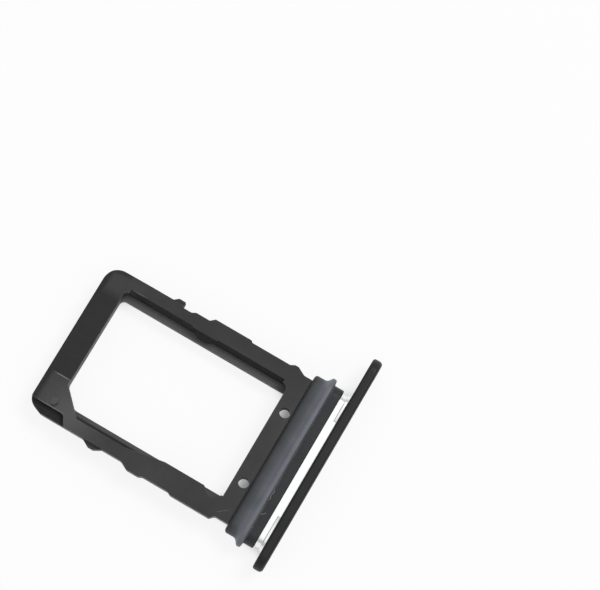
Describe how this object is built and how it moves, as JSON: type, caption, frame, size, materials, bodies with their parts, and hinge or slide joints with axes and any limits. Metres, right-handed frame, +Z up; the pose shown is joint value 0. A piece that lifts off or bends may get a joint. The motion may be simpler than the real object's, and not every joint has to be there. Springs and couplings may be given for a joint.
{
  "type": "sim card tray",
  "caption": "Slide-in card tray: moulded frame with a card pocket and a cut corner, a seal ring with a wiping lip, and a round-ended metal faceplate with an eject hole.",
  "frame": {"origin": "middle of the tray's footprint, on the surface that the seal's lip stands on", "axes": "+Y is the way the tray slides into the phone, +X is towards the eject hole, +Z is up with the card pocket open upwards"},
  "size_m": [0.016, 0.0188, 0.0023],
  "materials": {
    "frame_plastic": "black moulded plastic, satin",
    "plate_metal": "black anodised, bare bright neck",
    "seal_silicone": "dark grey silicone, slight bloom"
  },
  "bodies": {
    "root": {"tray_frame": "frame_plastic", "faceplate": "plate_metal", "seal_ring": "seal_silicone"}
  },
  "joints": []
}
